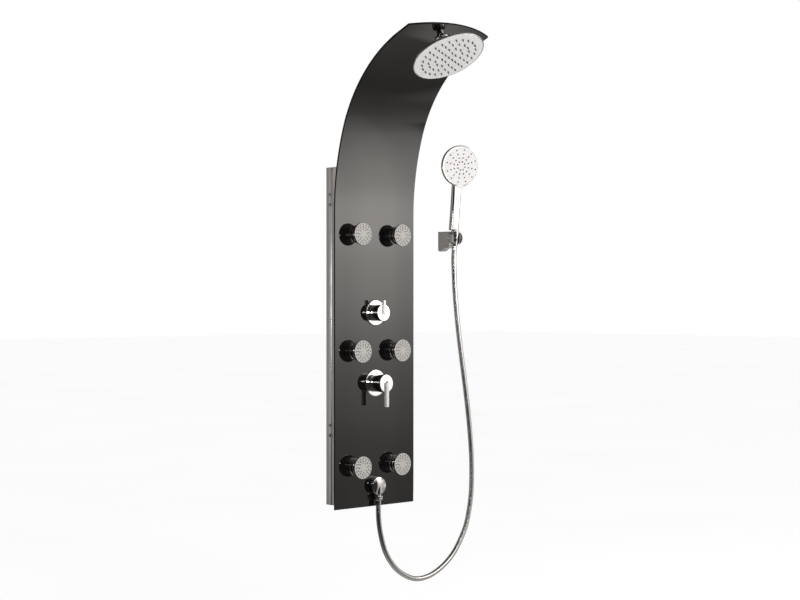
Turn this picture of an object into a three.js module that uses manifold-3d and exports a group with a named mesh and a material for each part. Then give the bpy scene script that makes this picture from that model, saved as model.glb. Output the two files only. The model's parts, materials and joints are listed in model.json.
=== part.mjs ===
// A wall-hung rainfall shower column: a bent black glass panel on aluminium rails, with an
// overhead shower, six swivelling body jets, a mixer, a diverter and a hand shower on a hose.
//
// Millimetres, +Z up. The wall is the plane Y = 0 and the column faces -Y. Heights are counted
// from the bottom edge of the glass, and depths from the wall; the last lines move the origin
// to the wall face of the upper hanger.
import * as THREE from 'three';
import { mergeVertices } from 'three/addons/utils/BufferGeometryUtils.js';
import Module from 'manifold-3d';

const wasm = await Module();
wasm.setup();

// ---- Driving dimensions ----------------------------------------------------------------------
const GAP = 0.3;                 // clearance between pieces that touch
const ballGap = 0.8;             // clearance between a faceted ball and its socket
const sides = { large: 28, medium: 20, small: 12, tiny: 8 };      // facets of round pieces
const degrees = Math.PI / 180;

const panel = {
  width: 292,
  thickness: 6,
  front: 50,                     // depth of the front face from the wall
  straight: 813,                 // height where the bending starts
  lower: { radius: 690, angle: 19 * degrees },
  upper: { radius: 383, angle: 49 * degrees },
  tip: 47,                       // straight end, up to its corners
  bow: 32,                       // how far the middle of the end stands past its corners
};
const lean = panel.lower.angle + panel.upper.angle;      // of the tip, from vertical
const back = panel.front - panel.thickness;

const rail = { outer: 136, wall: 2.6, flange: 24, low: 11, high: 939, rear: 1, rib: 1.5 };
const hangerHeights = { lower: 216, upper: 850 };
const hanger = { plate: 2.5, tall: 50, ear: 34, half: 133.1 };
const brace = { height: 640, tall: 26, rear: 5, front: 38 };
const screw = { depth: 18, apart: 28, head: 4.6, shank: 2.2, length: 15, headLong: 2.6 };

const pipe = { radius: 6.5, depth: 20 };
const jetHeights = { lower: 114, middle: 433, upper: 756 };
const jet = { across: 73, face: 31, neck: 24, reach: 35, ball: 14, centre: 16, shank: 10, tail: 27 };
const mixer = { height: 343, plate: 38, hub: 25, reach: 48, cartridge: 19, rod: 5.75, rodLong: 65 };
const diverter = { height: 539, plate: 36.2, hub: 23.7, reach: 36.6, cartridge: 15, rod: 5 };
const plateThick = 3.5;
const outlet = { height: 57, radius: 25, reach: 17.5, nose: 6, drop: 13.5 };

const rain = { along: 15.2, ball: 12, centre: 33, tube: 10, face: 61, radius: 100, rim: 8 };
const rainHang = 7.5 * degrees;   // how far the rain head hangs forward of its arm's own line
const holder = { x: 298.5, depth: 61, height: 754.5, radius: 18, half: 15, lean: 5.5 * degrees };
const cone = { top: 12.2, bottom: 9, high: 21.5, low: -23 };
const handset = { turn: -17 * degrees, radius: 59.5, thick: 16, face: 54, centre: 210, foot: 22 };
const handle = { wide: 28, deep: 20, corner: 8 };
const hoseRadius = 7.3;

// ---- Finishes --------------------------------------------------------------------------------
const finishes = {
  glass: { color: 0x0a0a0b, roughness: 0.04, metalness: 0 },
  aluminium: { color: 0xa9a9a6, roughness: 0.42, metalness: 0.9 },
  steel: { color: 0x9b9c9e, roughness: 0.5, metalness: 0.9 },
  brass: { color: 0xb39a5b, roughness: 0.4, metalness: 0.9 },
  chrome: { color: 0xd9dadd, roughness: 0.06, metalness: 1 },
  braid: { color: 0x8f9194, roughness: 0.45, metalness: 0.8 },
  plastic: { color: 0x3a3b3d, roughness: 0.5, metalness: 0 },
  jetFace: { color: 0xb9b7b3, roughness: 0.45, metalness: 0 },
  sprayFace: { color: 0xe9e8e6, roughness: 0.35, metalness: 0 },
};

// ---- Solids ----------------------------------------------------------------------------------
function volumeOf(geometry) {
  const { position } = geometry.attributes;
  const corner = [0, 1, 2].map(() => new THREE.Vector3());
  let total = 0;
  for (let i = 0; i < geometry.index.count; i += 3) {
    corner.forEach((point, k) => point.fromBufferAttribute(position, geometry.index.getX(i + k)));
    total += corner[0].dot(corner[1].cross(corner[2])) / 6;
  }
  return total;
}

// One closed skin: meeting vertices merged, empty triangles dropped, faces pointing out.
function closed(geometry) {
  const bare = geometry.clone();
  bare.deleteAttribute('normal');
  bare.deleteAttribute('uv');
  const merged = mergeVertices(bare, 1e-3);
  const faces = [];
  for (let i = 0; i < merged.index.count; i += 3) {
    const [a, b, c] = [0, 1, 2].map((k) => merged.index.getX(i + k));
    if (a !== b && b !== c && c !== a) faces.push(a, b, c);
  }
  merged.setIndex(faces);
  if (volumeOf(merged) < 0) merged.setIndex([...faces].reverse());
  return merged;
}

function toSolid(geometry) {
  const skin = closed(geometry);
  return new wasm.Manifold(new wasm.Mesh({
    numProp: 3,
    vertProperties: new Float32Array(skin.attributes.position.array),
    triVerts: new Uint32Array(skin.index.array),
  }));
}

function toGeometry(solid) {
  const mesh = solid.getMesh();
  const geometry = new THREE.BufferGeometry();
  geometry.setAttribute('position', new THREE.BufferAttribute(mesh.vertProperties, 3));
  geometry.setIndex(new THREE.BufferAttribute(mesh.triVerts, 1));
  return geometry;
}

const combine = (first, others, step) => toGeometry(others.reduce(step, toSolid(first)));
const cut = (first, ...others) => combine(first, others, (sum, g) => sum.subtract(toSolid(g)));
const join = (first, ...others) => combine(first, others, (sum, g) => sum.add(toSolid(g)));
const common = (first, ...others) => combine(first, others, (sum, g) => sum.intersect(toSolid(g)));

// A body turned about Z. Its profile is a list of [radius, z] from one end to the other, or a
// ring's profile that comes back to its first point.
function turned(profile, count = sides.medium) {
  const points = profile.map(([radius, z]) => new THREE.Vector2(radius, z));
  return new THREE.LatheGeometry(points, count).rotateX(90 * degrees);
}

const ring = (profile, count) => turned([...profile, profile[0]], count);
const rod = (radius, from, to, count = sides.small) =>
  turned([[0, from], [radius, from], [radius, to], [0, to]], count);

// Points of a round stretch of a turned profile, about a point on the axis.
function arc(radius, centre, from, to, steps) {
  return Array.from({ length: steps + 1 }, (_, i) => {
    const angle = from + ((to - from) * i) / steps;
    return [radius * Math.sin(angle), centre - radius * Math.cos(angle)];
  });
}

function prism(points, height, from = 0) {
  const shape = new THREE.Shape(points.map(([x, y]) => new THREE.Vector2(x, y)));
  return new THREE.ExtrudeGeometry(shape, { depth: height, bevelEnabled: false })
    .translate(0, 0, from);
}

// A prism across X whose outline is given as [depth, height].
function across(outline, width) {
  const basis = new THREE.Matrix4().makeBasis(
    new THREE.Vector3(0, -1, 0), new THREE.Vector3(0, 0, 1), new THREE.Vector3(-1, 0, 0));
  return prism(outline, width, -width / 2).applyMatrix4(basis);
}

const box = (x0, x1, y0, y1, z0, z1) => new THREE.BoxGeometry(x1 - x0, y1 - y0, z1 - z0)
  .translate((x0 + x1) / 2, (y0 + y1) / 2, (z0 + z1) / 2);

function tube(points, radius, steps) {
  const circle = Array.from({ length: sides.tiny }, (_, i) => {
    const angle = (2 * Math.PI * i) / sides.tiny;
    return new THREE.Vector2(radius * Math.cos(angle), radius * Math.sin(angle));
  });
  const extrudePath = new THREE.CatmullRomCurve3(points, false, 'centripetal');
  return new THREE.ExtrudeGeometry(new THREE.Shape(circle), { steps, extrudePath });
}

function piece(name, finish, geometry) {
  const mesh = new THREE.Mesh(closed(geometry), new THREE.MeshStandardMaterial(finishes[finish]));
  mesh.name = name;
  return mesh;
}

// A group whose Z axis runs out of the wall: z is the depth, and y is up.
function facing(x, height, ...meshes) {
  const group = new THREE.Group();
  group.add(...meshes);
  group.position.set(x, 0, height);
  group.rotation.x = 90 * degrees;
  return group;
}

// ---- Glass panel -----------------------------------------------------------------------------
// Points [depth, height] of the panel's bent side profile, some way behind its front face.
function bend(behind, straightEnd) {
  const { lower, upper, front, straight } = panel;
  const first = [front + lower.radius, straight];
  const second = [
    first[0] - (lower.radius - upper.radius) * Math.cos(lower.angle),
    first[1] + (lower.radius - upper.radius) * Math.sin(lower.angle),
  ];
  const on = (centre, radius, angle) => [
    centre[0] - (radius + behind) * Math.cos(angle),
    centre[1] + (radius + behind) * Math.sin(angle),
  ];
  const points = [];
  for (let i = 0; i < 6; i += 1) points.push(on(first, lower.radius, (lower.angle * i) / 6));
  for (let i = 0; i <= 12; i += 1) {
    points.push(on(second, upper.radius, lower.angle + (upper.angle * i) / 12));
  }
  const [depth, height] = points.at(-1);
  points.push([depth + straightEnd * Math.sin(lean), height + straightEnd * Math.cos(lean)]);
  return points;
}

// Where the overhead arm stands on the panel's front face, with its Z axis out of the glass.
function onTip(...meshes) {
  const [depth, height] = bend(0, rain.along).at(-1);
  const group = new THREE.Group();
  if (meshes.length) group.add(...meshes);
  group.position.set(0, -depth, height);
  group.rotation.x = Math.PI - (90 * degrees - lean);
  group.updateMatrix();
  return group;
}

function glassPanel() {
  const end = panel.tip + panel.bow;
  const outline = [[back, 0], [panel.front, 0], ...bend(0, end), ...bend(panel.thickness, end).reverse()];
  // The end is bowed: a plan of the sheet's tip, drawn in its own plane and cut right through.
  const half = panel.width / 2;
  const radius = (half ** 2 + panel.bow ** 2) / (2 * panel.bow);
  const reach = Math.asin(half / radius);
  const edge = panel.tip - rain.along;
  const plan = [[-half - 1, -1600], [half + 1, -1600], [half + 1, edge]];
  for (let i = 0; i <= 16; i += 1) {
    const angle = reach - (2 * reach * i) / 16;
    plan.push([radius * Math.sin(angle), edge + panel.bow - radius * (1 - Math.cos(angle))]);
  }
  plan.push([-half - 1, edge]);
  const blank = common(across(outline, panel.width), prism(plan, 2000, -400).applyMatrix4(onTip().matrix));
  const hole = (x, height, r) => rod(r, back - 5, panel.front + 5, 16)
    .rotateX(90 * degrees).translate(x, 0, height);
  const jetHoles = [-1, 1].flatMap((side) =>
    Object.values(jetHeights).map((height) => hole(side * jet.across, height, jet.shank + 0.5)));
  return piece('glass_panel', 'glass', cut(
    blank,
    hole(0, mixer.height, mixer.cartridge + 1),
    hole(0, diverter.height, diverter.cartridge + 1),
    hole(0, outlet.height, jet.shank + 0.5),
    rod(8.6, -15, 15).applyMatrix4(onTip().matrix),
    ...jetHoles,
  ));
}

// ---- Chassis ---------------------------------------------------------------------------------
// Screw holes through the rail or the hanger's ear, on the right-hand side.
function sideHoles(height) {
  return [-1, 1].map((way) => rod(screw.shank + 2 * GAP, 120, 150, sides.tiny).rotateY(90 * degrees)
    .translate(0, -screw.depth, height + (way * screw.apart) / 2));
}

function sideRail(name, side) {
  const { outer, wall, flange, rear, rib, low, high } = rail;
  const front = back - GAP;
  const section = [
    [outer, rear], [outer, 12], [outer + rib, 13.5], [outer + rib, 22], [outer - 1, 23.5],
    [outer - 1, 27], [outer, 28.5], [outer, front], [outer - flange, front],
    [outer - flange, front - 2], [outer - wall, front - 2], [outer - wall, rear],
  ].map(([x, depth]) => [x, -depth]);
  const bar = prism(section, high - low, low);
  const holes = Object.values(hangerHeights).flatMap(sideHoles);
  return piece(name, 'aluminium', cut(bar, ...holes).scale(side, 1, 1));
}

// A plate folded forward at both ends, between the rails.
function foldedPlate(depth, ear, tall, height) {
  const { half, plate } = hanger;
  const outline = [
    [-half, -depth], [half, -depth], [half, -ear], [half - plate, -ear],
    [half - plate, -depth - plate], [plate - half, -depth - plate], [plate - half, -ear], [-half, -ear],
  ];
  return prism(outline, tall, height - tall / 2);
}

function wallHanger(name, height) {
  const wallHoles = [-1, 1].flatMap((side) => [-1, 1].map((way) =>
    rod(3.2, -1, 5, sides.tiny).rotateX(90 * degrees).translate(side * 90, 0, height + way * 14)));
  const right = sideHoles(height);
  const left = sideHoles(height).map((hole) => hole.scale(-1, 1, 1));
  const plate = foldedPlate(0, hanger.ear, hanger.tall, height);
  return piece(name, 'steel', cut(plate, ...wallHoles, ...right, ...left));
}

const crossBrace = () =>
  piece('cross_brace', 'steel', foldedPlate(brace.rear, brace.front, brace.tall, brace.height));

function sideScrews() {
  const seat = rail.outer + rail.rib + GAP;
  const profile = [
    [0, seat - screw.length], [screw.shank, seat - screw.length], [screw.shank, seat],
    [screw.head, seat], [screw.head, seat + 1.4], [screw.head - 1.6, seat + screw.headLong],
    [0, seat + screw.headLong],
  ];
  return [['left', -1], ['right', 1]].flatMap(([sideName, side]) =>
    Object.entries(hangerHeights).flatMap(([level, height]) =>
      [['low', -1], ['high', 1]].map(([place, way]) => {
        const name = `side_screw_${sideName}_${level}_${place}`;
        const mesh = piece(name, 'chrome', turned(profile, sides.tiny));
        mesh.rotation.y = side * 90 * degrees;
        mesh.position.set(0, -screw.depth, height + (way * screw.apart) / 2);
        return mesh;
      })));
}

// ---- Valves and pipes behind the glass -------------------------------------------------------
const barrel = (radius, rear) => rod(radius, rear, back - GAP, sides.medium);
const sidePort = (reach) => rod(9, -reach, reach).rotateY(90 * degrees).translate(0, 0, pipe.depth);
const uprightPort = (x, from, to, radius = 9) =>
  rod(radius, from, to).rotateX(-90 * degrees).translate(x, 0, pipe.depth);

function mixerValve() {
  const inletX = 33.5;
  const inlets = [-1, 1].map((side) => uprightPort(side * inletX, -44, 0, 10.4));
  return piece('mixer_body', 'brass', join(
    barrel(24, 6), sidePort(inletX + 5), uprightPort(0, 0, 38), ...inlets));
}

function diverterValve() {
  return piece('diverter_body', 'brass', join(
    barrel(21, 7), sidePort(30), uprightPort(0, -30, 30), uprightPort(16, -30, 0, 8)));
}

// A turned ring plate on the glass, around a cartridge.
function cover(name, radius, cartridge) {
  const seat = panel.front + GAP;
  return piece(name, 'chrome', ring([
    [cartridge + 1, seat], [radius, seat], [radius, seat + 1.8], [radius - 1.6, seat + plateThick],
    [cartridge + 1, seat + plateThick],
  ], sides.medium));
}

const cartridgeOf = (name, radius, end) => piece(name, 'plastic',
  turned([[0, back], [radius, back], [radius, end - 8], [radius - 5, end], [0, end]], sides.small));

// The hub of a control: a cap over its cartridge with a short stem inside, and a groove across
// its face for the rod.
function hub(name, size, from, to) {
  const start = panel.front + plateThick + 2 * GAP;
  const end = panel.front + size.reach;
  const cap = turned([
    [0, end - 20 + GAP], [4.5, end - 20 + GAP], [4.5, end - 12], [size.cartridge + 1.5, end - 12],
    [size.cartridge + 1.5, start], [size.hub, start], [size.hub, end - 1.2], [size.hub - 1.2, end],
    [0, end],
  ]);
  const groove = rod(size.rod + 0.6, from, to).rotateX(-90 * degrees).translate(0, 0, end + 1);
  return piece(name, 'chrome', cut(cap, groove));
}

// A control's rod, lying half sunk in its hub's face, from one height to another.
function controlRod(name, size, from, to) {
  const { rod: radius } = size;
  const bar = turned([[0, from], [radius - 0.8, from], [radius, from + 0.8], [radius, to - 0.8],
    [radius - 0.8, to], [0, to]], sides.small);
  return piece(name, 'chrome', bar.rotateX(-90 * degrees).translate(0, 0, panel.front + size.reach + 1));
}

function mixerControl() {
  const { cartridge, reach, rod: radius, rodLong } = mixer;
  return facing(0, mixer.height,
    mixerValve(),
    cartridgeOf('mixer_cartridge', cartridge, panel.front + reach - 20),
    cover('mixer_plate', mixer.plate, cartridge),
    hub('mixer_hub', mixer, -40, radius),
    controlRod('mixer_lever', mixer, -rodLong, 2));
}

function diverterControl() {
  return facing(0, diverter.height,
    diverterValve(),
    cartridgeOf('diverter_cartridge', diverter.cartridge, panel.front + diverter.reach - 20),
    cover('diverter_plate', diverter.plate, diverter.cartridge),
    hub('diverter_knob', diverter, -6.5, 40),
    controlRod('diverter_rod', diverter, -5.5, 35));
}

const atPipes = (x, height) => new THREE.Vector3(x, -pipe.depth, height);

function jetPipe(name, side) {
  const upright = rod(pipe.radius, jetHeights.lower - 14, jetHeights.upper + 14)
    .translate(jet.across, -pipe.depth, 0);
  const branch = rod(pipe.radius, 30 + GAP, jet.across).rotateY(90 * degrees)
    .translate(0, -pipe.depth, diverter.height);
  return piece(name, 'braid', join(upright, branch).scale(side, 1, 1));
}

function feedPipe() {
  const from = mixer.height + 38 + GAP;
  const to = diverter.height - 30 - GAP;
  return piece('mixer_to_diverter_pipe', 'braid', rod(pipe.radius, from, to).translate(0, -pipe.depth, 0));
}

function outletPipe() {
  const route = [[16, 508.7], [16, 500], [17, 480], [27, 455], [46, 430], [57, 400], [57.5, 360],
    [57.5, 240], [57.5, 130], [55, 90], [42, 64], [22, 57], [4, 57], [-8, 57]];
  return piece('outlet_pipe', 'braid', tube(route.map(([x, z]) => atPipes(x, z)), pipe.radius, 20));
}

function riserPipe() {
  const behind = panel.front - pipe.depth;
  const curve = bend(behind, rain.along - 13 - 2 * GAP);
  const route = [[pipe.depth, diverter.height + 30 + GAP], [pipe.depth, 640], [pipe.depth, 730], ...curve];
  return piece('riser_pipe', 'braid',
    tube(route.map(([depth, z]) => new THREE.Vector3(0, -depth, z)), pipe.radius, 26));
}

// ---- Body jets -------------------------------------------------------------------------------
// A jet is a base in the glass, its back nut, and a nozzle head on a ball that nods in the base.
function jetBase(name) {
  const centre = panel.front + jet.centre;
  const socket = arc(jet.ball + ballGap, centre, 25 * degrees, 100 * degrees, 4);
  return piece(name, 'chrome', ring([
    [3, jet.tail], [jet.shank, jet.tail], [jet.shank, panel.front + GAP], [jet.neck, panel.front + GAP],
    [jet.neck, centre + 0.5], [jet.neck - 3, centre + 3], ...socket.reverse(), [3, centre - 15],
  ], sides.small));
}

function jetHead(name) {
  const centre = panel.front + jet.centre;
  const face = panel.front + jet.reach;
  return piece(name, 'jetFace', turned([
    ...arc(jet.ball, centre, 0, 135 * degrees, 5), [jet.face - 2, face - 8.7],
    [jet.face, face - 6.7], [jet.face, face - 1.5], [jet.face - 1.5, face], [0, face],
  ], sides.small));
}

const jetNut = (name) => piece(name, 'brass',
  cut(rod(18, 34, back - GAP, 6), rod(jet.shank + 2 * GAP, 30, back)));

function bodyJets() {
  return Object.entries(jetHeights).flatMap(([level, height]) =>
    [['left', -1], ['right', 1]].map(([sideName, side]) => facing(side * jet.across, height,
      jetBase(`jet_base_${level}_${sideName}`),
      jetHead(`jet_head_${level}_${sideName}`),
      jetNut(`jet_nut_${level}_${sideName}`))));
}

// ---- Overhead shower -------------------------------------------------------------------------
// Drawn along the arm's own axis: 0 is the glass face and the spray face is at rain.face.
function overheadShower() {
  const { ball, centre, tube: bar, face, radius, rim } = rain;
  const top = -panel.thickness;
  const arm = piece('rain_arm', 'chrome', turned([
    [0, top - 18], [8, top - 18], [8, GAP], [19, GAP], [19, 3.5], [16.5, 5], [bar, 5],
    [bar, centre - 13.5], [6.5, centre - 10.5], ...arc(ball, centre, 33 * degrees, 180 * degrees, 6),
  ], sides.small));
  const elbow = cut(rod(13, top - 34, top - GAP), rod(8 + 2 * GAP, top - 19, top + 1));
  const collar = ring([
    ...arc(ball + ballGap, centre, 55 * degrees, 90 * degrees, 3), [ball + ballGap, centre + 13.5],
    [17, centre + 13.5], [17, centre - 5], [15, centre - 7.4],
  ], sides.medium);
  const shell = turned([
    [0, centre + 13.8], [22, centre + 13.8], [24, centre + 16.5], [radius - 6, face - rim],
    [radius, face - rim + 2],
    [radius, face - 1], [radius - 3, face - 1], [radius - 3, face - 2.5], [0, face - 2.5],
  ], sides.large);
  const plate = turned([[0, face - 2.5 + GAP], [radius - 3.4, face - 2.5 + GAP],
    [radius - 3.4, face - 0.6], [radius - 4, face], [0, face]], sides.large);
  const head = [piece('rain_collar', 'chrome', collar), piece('rain_head', 'chrome', shell),
    piece('rain_spray_plate', 'sprayFace', plate)];
  for (const mesh of head) {
    mesh.geometry.translate(0, 0, -centre).rotateX(-rainHang).translate(0, 0, centre);
  }
  return onTip(arm, piece('rain_inlet_elbow', 'brass', elbow), ...head);
}

// ---- Hose outlet, hose and hand shower -------------------------------------------------------
function hoseOutlet() {
  const nose = panel.front + outlet.reach;
  const body = turned([
    [0, jet.tail], [jet.shank, jet.tail], [jet.shank, panel.front + GAP],
    [outlet.radius, panel.front + GAP], [outlet.radius, nose], [0, nose + outlet.nose],
  ]);
  const spigot = rod(8, 20.3 - outlet.height, 0).rotateX(-90 * degrees)
    .translate(0, 0, panel.front + outlet.drop);
  return facing(0, outlet.height, piece('hose_outlet', 'chrome', join(body, spigot)));
}

function lowerNut() {
  const nut = piece('hose_nut_lower', 'chrome', turned([
    [0, 17], [10.5, 17], [12, 18.5], [12, 29], [10.8, 30.5], [8 + 2 * GAP, 30.5], [8 + 2 * GAP, 20], [0, 20],
  ], sides.small));
  nut.position.y = -(panel.front + outlet.drop);
  return nut;
}

// The hose hangs from the outlet in a long loop and comes up into the cone nut. Its route is a
// list of [x, depth, height], with both ends along their fittings' axes.
const hoseRoute = [
  [0, 63.5, 16.7], [0, 63.5, 4], [0.2, 63.4, -12], [2, 63.2, -40], [9, 63, -78], [27, 62.8, -130],
  [58, 62.6, -173], [95, 62.4, -201], [141, 62.2, -218.5], [188, 62, -217.5], [240, 61.8, -199],
  [289, 61.6, -164], [323, 61.4, -121], [343, 61.2, -85], [356, 61, -42], [364.5, 60.8, 4],
  [367.5, 60.6, 55], [366.5, 60.4, 117], [361, 60.2, 182], [352, 60, 253], [341, 59.7, 324],
  [329, 59.4, 395], [317.5, 59, 465], [308, 58.5, 535], [301.5, 57.4, 605], [299, 56.6, 660],
  [298.3, 56.2, 697], [298.4, 57.2, 713.5], [298.5, 58.8, 731.3],
];

function showerHose() {
  const points = hoseRoute.map(([x, depth, height]) => new THREE.Vector3(x, -depth, height));
  return piece('shower_hose', 'chrome', tube(points, hoseRadius, 48));
}

function wallBracket() {
  const { radius, depth, height } = holder;
  // The saddle stops short of the cone nut, which swings past its two ends as the clip tilts.
  const saddle = Array.from({ length: 9 }, (_, i) => {
    const angle = (43 - (82 * i) / 8) * degrees;
    return [depth - (radius + GAP) * Math.cos(angle), height + (radius + GAP) * Math.sin(angle)];
  });
  const around = [[0, -34], [3, -38], [9, -38], [16, -29], [42, -29], [43, -18]];
  const outline = [...around.map(([x, y]) => [x, height + y]), ...saddle.reverse(),
    [46, height + 18.5], [44, height + 20], [0, height + 20]];
  const block = across(outline, 21);
  block.translate(holder.x, 0, 0);
  return piece('wall_bracket', 'chrome', block);
}

// The clip is a short round bar across the bracket, bored for the cone nut and open in front.
function holderClip() {
  const bar = rod(holder.radius, -holder.half, holder.half, sides.medium).rotateY(90 * degrees);
  const slope = (cone.top - cone.bottom) / (cone.high - cone.low);
  const radiusAt = (z) => cone.bottom + slope * (z - cone.low) + 2 * GAP;
  const bore = turned([[0, -20], [radiusAt(-20), -20], [radiusAt(20), 20], [0, 20]], sides.medium);
  const mouth = box(-7.8, 7.8, -20, 0, -20, 20);
  return piece('holder_clip', 'chrome', cut(bar, bore, mouth));
}

function upperNut() {
  return piece('hose_nut_upper', 'chrome', turned([
    [0, cone.low], [cone.bottom, cone.low], [cone.top, cone.high], [7 + 2 * GAP, cone.high],
    [7 + 2 * GAP, 10], [0, 10],
  ]));
}

function handShower() {
  const { radius, thick, face, centre, foot } = handset;
  const half = thick / 2;
  const disc = turned([
    [0, -half], [radius - 5, -half], [radius, -half + 4], [radius, half - 2], [radius - 2, half],
    [0, half],
  ], sides.large).rotateX(90 * degrees).translate(0, 0, centre);
  const { wide, deep, corner } = handle;
  const section = new THREE.Shape();
  const [x, y] = [wide / 2, deep / 2];
  section.moveTo(-x + corner, -y).lineTo(x - corner, -y).quadraticCurveTo(x, -y, x, -y + corner);
  section.lineTo(x, y - corner).quadraticCurveTo(x, y, x - corner, y).lineTo(-x + corner, y);
  section.quadraticCurveTo(-x, y, -x, y - corner).lineTo(-x, -y + corner);
  section.quadraticCurveTo(-x, -y, -x + corner, -y);
  const grip = new THREE.ExtrudeGeometry(section, {
    depth: centre - radius + 12 - foot, curveSegments: 4, bevelEnabled: false,
  }).translate(0, 0, foot);
  const nipple = rod(7, 10 + GAP, foot + 2);
  const front = -half - GAP;
  const plateOutline = [[-11, handset.centre - radius - 6], [11, handset.centre - radius - 6]];
  for (let i = 0; i <= 28; i += 1) {
    const angle = (-62 + (304 * i) / 28) * degrees;
    plateOutline.push([face * Math.cos(angle), centre + face * Math.sin(angle)]);
  }
  const plate = prism(plateOutline, 2).rotateX(90 * degrees).translate(0, front, 0);
  // The plate stands in front of the grip, which is stepped back behind it.
  const step = box(-20, 20, -deep, front + GAP, centre - radius - 7, centre);
  const group = new THREE.Group();
  group.rotation.z = handset.turn;
  group.add(
    piece('handset_body', 'chrome', join(disc, cut(grip, step), nipple)),
    piece('handset_spray_plate', 'sprayFace', plate));
  return group;
}

function handShowerOnHolder() {
  const group = new THREE.Group();
  group.position.set(holder.x, -holder.depth, holder.height);
  group.rotation.x = holder.lean;
  group.add(holderClip(), upperNut(), handShower());
  return group;
}

// ---- The whole column ------------------------------------------------------------------------
const column = new THREE.Group();
column.add(
  glassPanel(),
  sideRail('side_rail_left', -1),
  sideRail('side_rail_right', 1),
  crossBrace(),
  wallHanger('wall_hanger_lower', hangerHeights.lower),
  wallHanger('wall_hanger_upper', hangerHeights.upper),
  ...sideScrews(),
  mixerControl(),
  diverterControl(),
  feedPipe(),
  jetPipe('jet_pipe_left', -1),
  jetPipe('jet_pipe_right', 1),
  outletPipe(),
  riserPipe(),
  ...bodyJets(),
  overheadShower(),
  hoseOutlet(),
  lowerNut(),
  showerHose(),
  wallBracket(),
  handShowerOnHolder(),
);
column.position.z = -hangerHeights.upper;

const group = new THREE.Group();
group.add(column);
export default group;
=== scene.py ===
import json
import math

import bmesh
import bpy
from mathutils import Matrix, Vector


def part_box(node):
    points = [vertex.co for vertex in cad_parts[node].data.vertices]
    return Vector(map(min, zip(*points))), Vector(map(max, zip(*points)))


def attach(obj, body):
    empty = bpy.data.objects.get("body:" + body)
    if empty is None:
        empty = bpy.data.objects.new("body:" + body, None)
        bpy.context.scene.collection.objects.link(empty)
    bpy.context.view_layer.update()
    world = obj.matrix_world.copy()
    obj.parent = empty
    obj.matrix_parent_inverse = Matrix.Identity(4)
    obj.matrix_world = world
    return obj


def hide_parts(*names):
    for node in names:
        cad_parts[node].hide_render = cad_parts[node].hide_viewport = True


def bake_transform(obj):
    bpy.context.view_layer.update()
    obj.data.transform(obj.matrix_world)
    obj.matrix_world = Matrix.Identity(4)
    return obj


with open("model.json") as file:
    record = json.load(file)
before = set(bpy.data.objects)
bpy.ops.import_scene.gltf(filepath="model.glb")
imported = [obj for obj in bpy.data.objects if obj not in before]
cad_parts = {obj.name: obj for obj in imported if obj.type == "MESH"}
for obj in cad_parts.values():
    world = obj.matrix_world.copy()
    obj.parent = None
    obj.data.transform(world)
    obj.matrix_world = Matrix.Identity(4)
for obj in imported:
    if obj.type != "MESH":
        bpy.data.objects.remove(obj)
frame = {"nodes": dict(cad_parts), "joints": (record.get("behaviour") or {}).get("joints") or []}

# The column's looks. Local shapes are in millimetres; the row frame is in metres, +Z up and
# the column facing -Y. "Height" is counted from the glass's bottom edge, as in the CAD.
MM = 0.001
ORIGIN_HEIGHT = 850.0
GLASS_FRONT = 50.0
TAU = 2 * math.pi
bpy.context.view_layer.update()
joints = {joint["name"]: joint for joint in frame["joints"]}


def placed(name, data):
    """A new object in the scene."""
    obj = bpy.data.objects.new(name, data)
    bpy.context.scene.collection.objects.link(obj)
    return obj


# ---- Camera ----------------------------------------------------------------------------------
camera_data = bpy.data.cameras.new("camera")
camera_data.lens = 71.1
camera_data.sensor_width = 36
camera_data.clip_end = 100
camera_data.shift_x, camera_data.shift_y = -0.000625, 0.000625
camera = placed("camera", camera_data)
camera.location = (-2.8985, -3.3748, -0.277)
camera.rotation_euler = (math.radians(90), 0, math.radians(-42))
bpy.context.scene.camera = camera


# ---- Node helpers ----------------------------------------------------------------------------
class Nodes:
    """A material's node tree with short calls for what the materials share."""

    def __init__(self, name):
        self.material = bpy.data.materials.new(name)
        self.material.use_nodes = True
        self.tree = self.material.node_tree
        self.shader = self.tree.nodes["Principled BSDF"]
        self.coordinates = self.add("ShaderNodeTexCoord").outputs["Object"]

    def add(self, kind, **settings):
        node = self.tree.nodes.new(kind)
        for key, value in settings.items():
            setattr(node, key, value)
        return node

    def join(self, a, b):
        self.tree.links.new(a, b)

    def scaled(self, scale):
        node = self.add("ShaderNodeMapping")
        node.inputs["Scale"].default_value = scale
        self.join(self.coordinates, node.inputs["Vector"])
        return node.outputs["Vector"]

    def noise(self, scale, detail=4.0, stretch=(1, 1, 1)):
        node = self.add("ShaderNodeTexNoise")
        node.inputs["Scale"].default_value = scale
        node.inputs["Detail"].default_value = detail
        self.join(self.scaled(stretch), node.inputs["Vector"])
        return node.outputs["Fac"]

    def spread(self, value, low, high, start=0.3, end=0.7):
        node = self.add("ShaderNodeMapRange")
        for key, number in (("From Min", start), ("From Max", end), ("To Min", low), ("To Max", high)):
            node.inputs[key].default_value = number
        self.join(value, node.inputs["Value"])
        return node.outputs["Result"]

    def blend(self, value, first, second, start=0.3, end=0.7):
        node = self.add("ShaderNodeValToRGB")
        ramp = node.color_ramp.elements
        ramp[0].position, ramp[0].color = start, (*first, 1)
        ramp[1].position, ramp[1].color = end, (*second, 1)
        self.join(value, node.inputs["Fac"])
        return node.outputs["Color"]

    def bump(self, value, strength, distance):
        node = self.add("ShaderNodeBump")
        node.inputs["Strength"].default_value = strength
        node.inputs["Distance"].default_value = distance
        self.join(value, node.inputs["Height"])
        return node.outputs["Normal"]

    def set(self, **values):
        for key, value in values.items():
            socket = self.shader.inputs[key.replace("_", " ")]
            if isinstance(value, bpy.types.NodeSocket):
                self.join(value, socket)
            else:
                socket.default_value = value
        return self.material


def grey(level, warm=0.0):
    return (level * (1 + warm), level, level * (1 - warm))


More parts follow.
